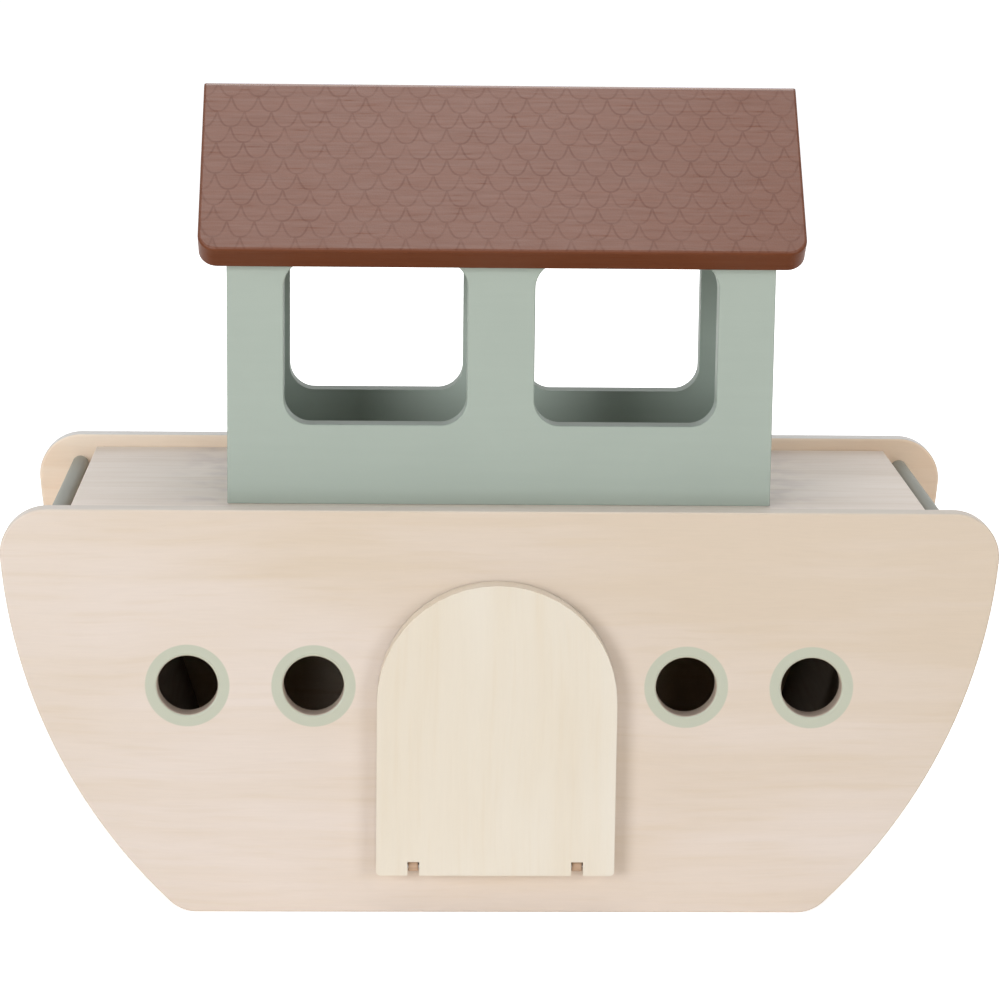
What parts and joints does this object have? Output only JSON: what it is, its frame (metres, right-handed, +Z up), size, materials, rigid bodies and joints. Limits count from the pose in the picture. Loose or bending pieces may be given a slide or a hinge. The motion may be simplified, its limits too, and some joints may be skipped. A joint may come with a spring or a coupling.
{
  "type": "wooden toy ark",
  "caption": "Flat-bottomed wooden toy ark with a drop-down arched ramp, round portholes, a lift-out deck with an open-windowed cabin, and a lift-off pitched roof with a fish-scale pattern.",
  "frame": {"origin": "on the floor under the middle of the ark's outer box, which takes in the closed ramp", "axes": "+X along the hull towards the bow, which is the picture's right; +Y from the ramp side to the back; +Z up"},
  "size_m": [0.3356, 0.149, 0.2762],
  "materials": {
    "basswood": "pale basswood ply, sanded and clear-lacquered matt, with faint lengthwise grain",
    "ramp_wood": "creamy plain wood, sanded matt, with faint upright grain",
    "deck_wood": "pale greyish ply, sanded matt",
    "inner_wood": "plain sanded wood",
    "sage_paint": "wood under matt sage-green paint",
    "dowel_paint": "wood under matt grey-green paint",
    "terracotta_paint": "wood under satin terracotta paint, with a printed fish-scale pattern",
    "steel": "plain steel"
  },
  "bodies": {
    "hull": {"front_side_panel": "basswood", "rear_side_panel": "basswood", "bottom_board": "inner_wood", "bow_end_board": "inner_wood", "stern_end_board": "inner_wood", "bow_dowel": "dowel_paint", "stern_dowel": "dowel_paint", "front_ledge": "inner_wood", "rear_ledge": "inner_wood", "bottom_pins": "inner_wood", "end_board_pins": "inner_wood", "hinge_lugs": "ramp_wood", "panel_magnet": "steel"},
    "ramp": {"ramp_door": "ramp_wood", "hinge_pins": "steel", "ramp_magnet": "steel"},
    "deck_lid": {"deck_board": "deck_wood", "cabin_front_wall": "sage_paint", "cabin_rear_wall": "sage_paint", "cabin_stern_gable": "sage_paint", "cabin_bow_gable": "sage_paint", "cabin_corner_pins": "inner_wood", "cabin_screws": "steel"},
    "roof": {"roof_front_board": "terracotta_paint", "roof_rear_board": "terracotta_paint", "roof_stern_rib": "terracotta_paint", "roof_bow_rib": "terracotta_paint", "ridge_pins": "inner_wood"}
  },
  "joints": [
    {"name": "ramp_hinge", "type": "hinge", "parent": "hull", "child": "ramp", "pos_m": [-0.0012, -0.0712, 0.0184], "axis": [1, 0, 0], "range_deg": [0, 98]},
    {"name": "lid_lift", "type": "slide", "parent": "hull", "child": "deck_lid", "axis": [0, 0, 1], "range_m": [0, 0.08]},
    {"name": "roof_lift", "type": "slide", "parent": "deck_lid", "child": "roof", "axis": [0, 0, 1], "range_m": [0, 0.07]}
  ]
}
